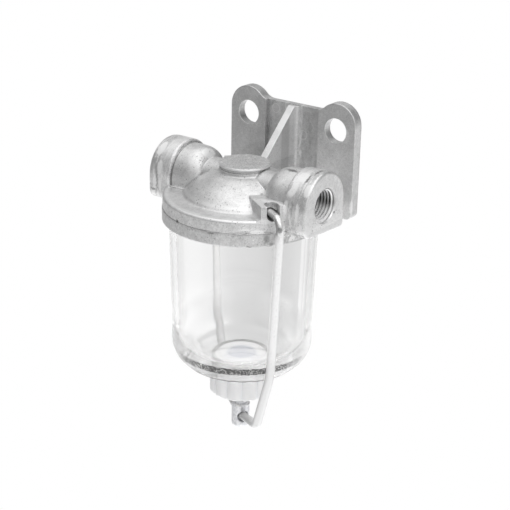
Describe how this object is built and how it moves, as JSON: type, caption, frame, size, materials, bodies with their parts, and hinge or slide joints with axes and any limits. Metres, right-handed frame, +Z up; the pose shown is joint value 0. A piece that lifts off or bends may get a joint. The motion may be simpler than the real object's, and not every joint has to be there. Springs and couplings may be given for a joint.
{
  "type": "fuel water separator",
  "caption": "Bowl-type fuel water separator: die-cast head with bracket and two threaded ports, clear glass bowl held by a wire bail and a moulded clamp nut.",
  "frame": {"origin": "centre point between the two bracket holes, on the bracket's back face", "axes": "+Y out of the bracket's back face towards the engine, -Y towards the front of the head, +Z up along the bowl's axis, +X towards the outlet port"},
  "size_m": [0.0798, 0.071, 0.1446],
  "materials": {
    "cast_head": "die-cast and tumbled, faintly pitted",
    "plug": "matte",
    "gasket": "matte",
    "strainer_brass": "satin",
    "gauze": "woven wire",
    "bowl_glass": "pressed clear glass",
    "zinc_wire": "bright zinc plate, satin",
    "zinc_screw": "blue-white zinc plate",
    "nut_plastic": "natural translucent nylon",
    "insert_brass": "turned",
    "pad_plastic": "white nylon"
  },
  "bodies": {
    "head": {"head_casting": "cast_head", "core_plug": "plug", "bowl_gasket": "gasket", "strainer_rim": "strainer_brass", "strainer_eyelet": "strainer_brass", "strainer_gauze": "gauze", "glass_bowl": "bowl_glass", "bail_wire": "zinc_wire", "eye_screw": "zinc_screw"},
    "pad": {"thrust_pad": "pad_plastic"},
    "nut": {"clamp_nut": "nut_plastic", "nut_insert": "insert_brass"}
  },
  "joints": [
    {"name": "nut_travel", "type": "slide", "parent": "head", "child": "pad", "axis": [0, 0, 1], "range_m": [-0.0066, 0]},
    {"name": "nut_turn", "type": "hinge", "parent": "pad", "child": "nut", "pos_m": [0, -0.03705, -0.10875], "axis": [0, 0, 1], "range_deg": [-2340, 0]}
  ],
  "couplings": [
    {"joint": "nut_travel", "follows": "nut_turn", "m_per_rad": 0.00015915}
  ]
}
